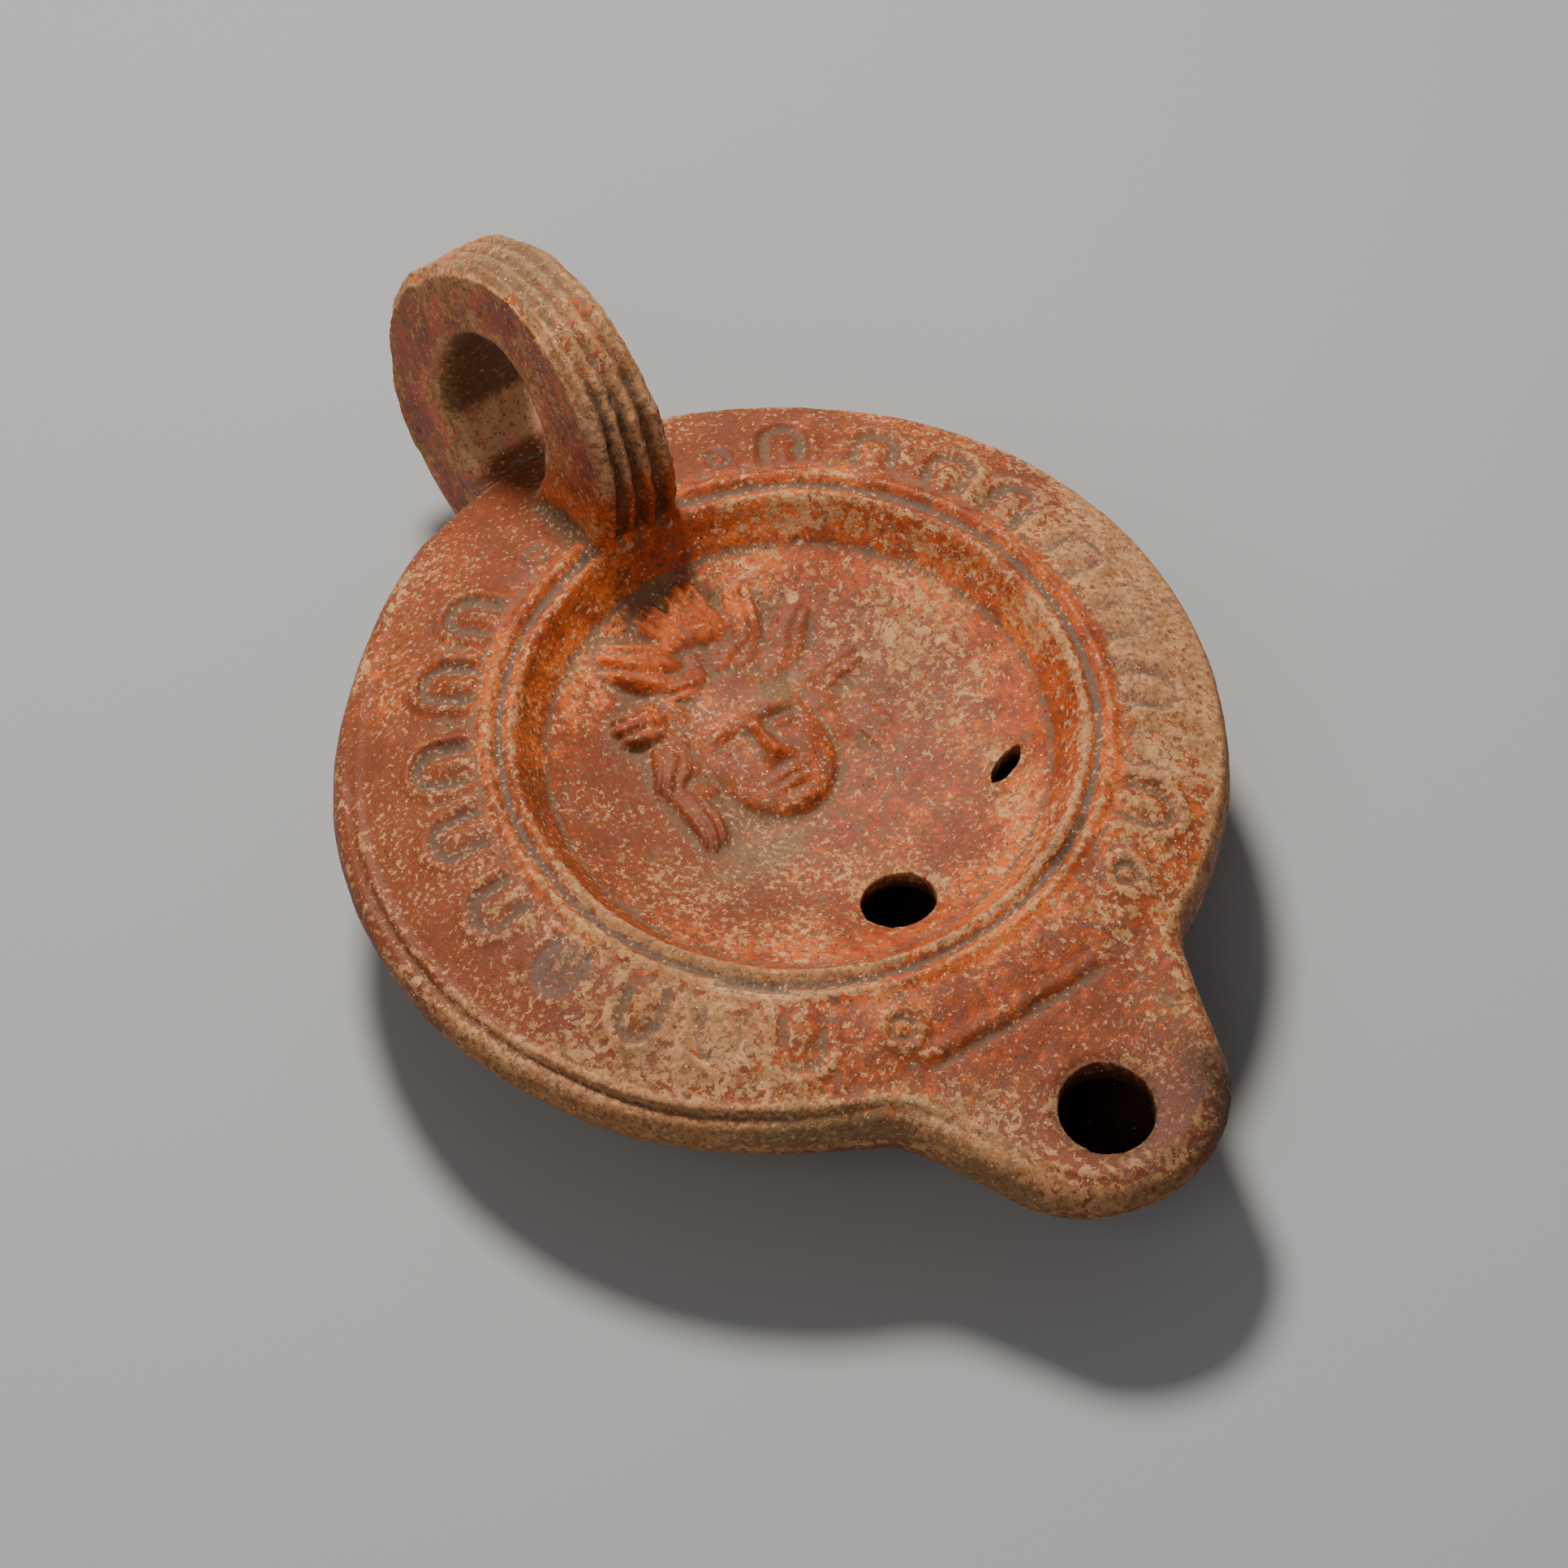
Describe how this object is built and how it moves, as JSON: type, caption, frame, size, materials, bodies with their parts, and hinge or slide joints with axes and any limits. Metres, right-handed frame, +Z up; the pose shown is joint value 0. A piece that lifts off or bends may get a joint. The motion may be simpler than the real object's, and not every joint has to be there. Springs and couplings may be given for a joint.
{
  "type": "roman oil lamp",
  "caption": "Round hollow pottery lamp with a sunken disc, relief head, egg-and-arch border, short round nozzle and fluted ring handle.",
  "frame": {"origin": "centre of the flat underside that the lamp stands on", "axes": "+Z up; the nozzle points to -Y, the ring handle stands at +Y, +X is the right side seen from the nozzle"},
  "size_m": [0.0842, 0.119, 0.0486],
  "materials": {
    "fired_clay": "worn orange-red slip over buff clay, matt, with grey-brown dirt in the hollows"
  },
  "bodies": {
    "root": {"lamp": "fired_clay"}
  },
  "joints": []
}
